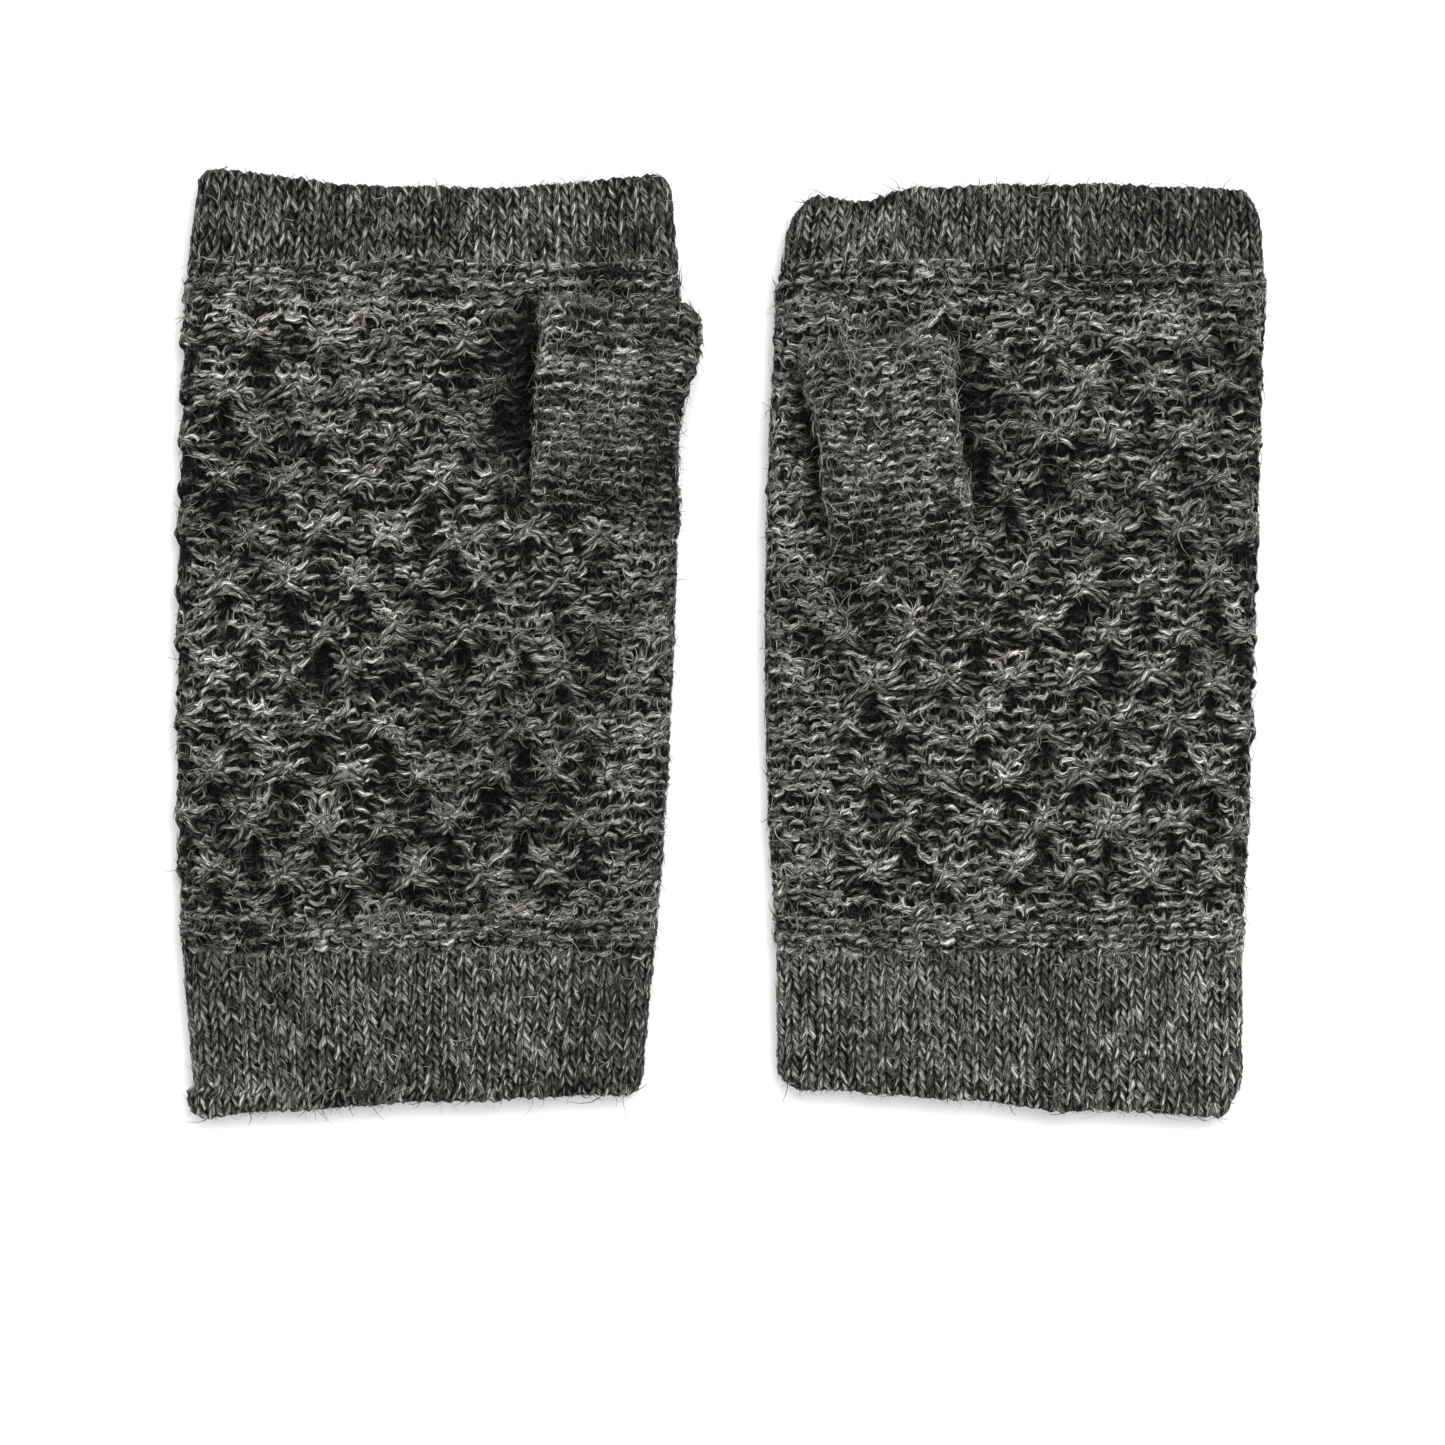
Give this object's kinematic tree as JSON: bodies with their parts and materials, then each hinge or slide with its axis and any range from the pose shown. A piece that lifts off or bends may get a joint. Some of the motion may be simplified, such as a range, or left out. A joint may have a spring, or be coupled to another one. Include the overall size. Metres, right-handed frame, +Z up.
{
  "type": "fingerless gloves",
  "caption": "Pair of knitted wool fingerless gloves lying flat, palms up, with honeycomb hand, ridged welts, plain folded wrist and knuckle bands, and short thumb tubes folded over the palms.",
  "frame": {"origin": "middle of the pair, on the surface that it lies on", "axes": "+X across the pair, with the glove whose thumb lies on its +X side at -X; +Y towards the fingers; +Z up, out of the palms"},
  "size_m": [0.2294, 0.1972, 0.0211],
  "materials": {
    "band_wool": "matte",
    "hand_wool": "matte",
    "thumb_wool": "matte",
    "welt_wool": "matte"
  },
  "bodies": {
    "left_glove": {"left_palm": "hand_wool", "left_back": "hand_wool", "left_side_strip": "hand_wool", "left_wrist_welt": "welt_wool", "left_knuckle_welt": "welt_wool", "left_thumb_join": "thumb_wool"},
    "left_wrist": {"left_wrist_cuff": "band_wool", "left_wrist_facing": "band_wool"},
    "left_knuckle": {"left_knuckle_band": "band_wool", "left_knuckle_facing": "band_wool"},
    "left_thumb": {"left_thumb_tube": "thumb_wool", "left_thumb_edge": "thumb_wool"},
    "right_glove": {"right_palm": "hand_wool", "right_back": "hand_wool", "right_side_strip": "hand_wool", "right_wrist_welt": "welt_wool", "right_knuckle_welt": "welt_wool", "right_thumb_join": "thumb_wool"},
    "right_wrist": {"right_wrist_cuff": "band_wool", "right_wrist_facing": "band_wool"},
    "right_knuckle": {"right_knuckle_band": "band_wool", "right_knuckle_facing": "band_wool"},
    "right_thumb": {"right_thumb_tube": "thumb_wool", "right_thumb_edge": "thumb_wool"}
  },
  "joints": [
    {"name": "right_glove_lift", "type": "slide", "parent": "left_glove", "child": "right_glove", "axis": [0, 0, 1], "range_m": [0, 0.12]},
    {"name": "left_wrist_turn_back", "type": "hinge", "parent": "left_glove", "child": "left_wrist", "pos_m": [-0.0636, -0.063, 0.0146], "axis": [-1, 0, 0], "range_deg": [0, 160]},
    {"name": "left_knuckle_bend", "type": "hinge", "parent": "left_glove", "child": "left_knuckle", "pos_m": [-0.06104, 0.0796, 0.0128], "axis": [1, 0, 0], "range_deg": [0, 75]},
    {"name": "left_thumb_lift", "type": "hinge", "parent": "left_glove", "child": "left_thumb", "pos_m": [-0.0248, 0.03392, 0.02125], "axis": [0.9963, -0.0854, 0], "range_deg": [0, 75]},
    {"name": "right_wrist_turn_back", "type": "hinge", "parent": "right_glove", "child": "right_wrist", "pos_m": [0.06144, -0.063, 0.0146], "axis": [-1, 0, 0], "range_deg": [0, 160]},
    {"name": "right_knuckle_bend", "type": "hinge", "parent": "right_glove", "child": "right_knuckle", "pos_m": [0.06301, 0.0796, 0.0128], "axis": [1, 0, 0], "range_deg": [0, 75]},
    {"name": "right_thumb_lift", "type": "hinge", "parent": "right_glove", "child": "right_thumb", "pos_m": [0.03678, 0.0276, 0.02125], "axis": [0.9936, 0.1132, 0], "range_deg": [0, 75]}
  ]
}
